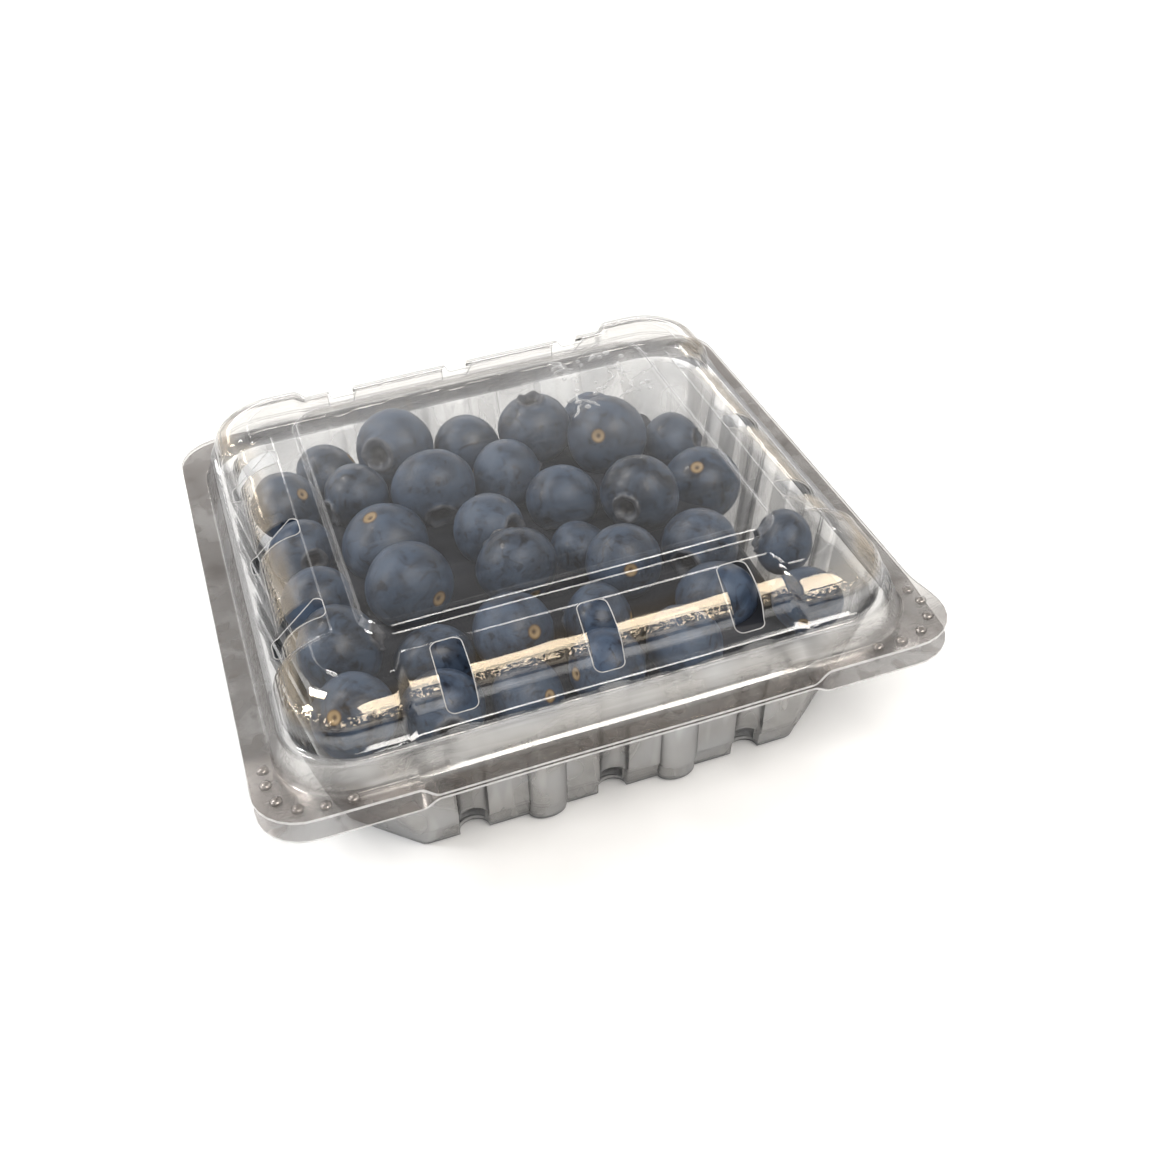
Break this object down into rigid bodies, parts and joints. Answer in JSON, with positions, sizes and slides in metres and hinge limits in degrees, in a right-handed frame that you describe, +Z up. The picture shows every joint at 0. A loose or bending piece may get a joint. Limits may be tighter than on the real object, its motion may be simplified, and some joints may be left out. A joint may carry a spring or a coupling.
{
  "type": "punnet of blueberries",
  "caption": "Square clear plastic clamshell punnet with a hinged vented lid, finger tabs and ribbed tray walls, filled with loose blueberries.",
  "frame": {"origin": "middle of the tray's flat underside, under the middle of the square flange", "axes": "+Z up; the front with the two finger tabs faces -Y and the lid's hinge runs along X at the +Y side"},
  "size_m": [0.1166, 0.1167, 0.041],
  "materials": {
    "lid_plastic": "clear thin formed sheet, glossy, with fine scratches",
    "tray_plastic": "clear thin formed sheet, glossy, upright ribs",
    "berry_skin": "dark blue skin under a pale waxy bloom, stands in for fruit"
  },
  "bodies": {
    "tray": {"tray": "tray_plastic", "berries": "berry_skin"},
    "lid": {"lid": "lid_plastic"}
  },
  "joints": [
    {"name": "lid_hinge", "type": "hinge", "parent": "tray", "child": "lid", "pos_m": [0, 0.0587, 0.02505], "axis": [-1, 0, 0], "range_deg": [0, 180]}
  ]
}
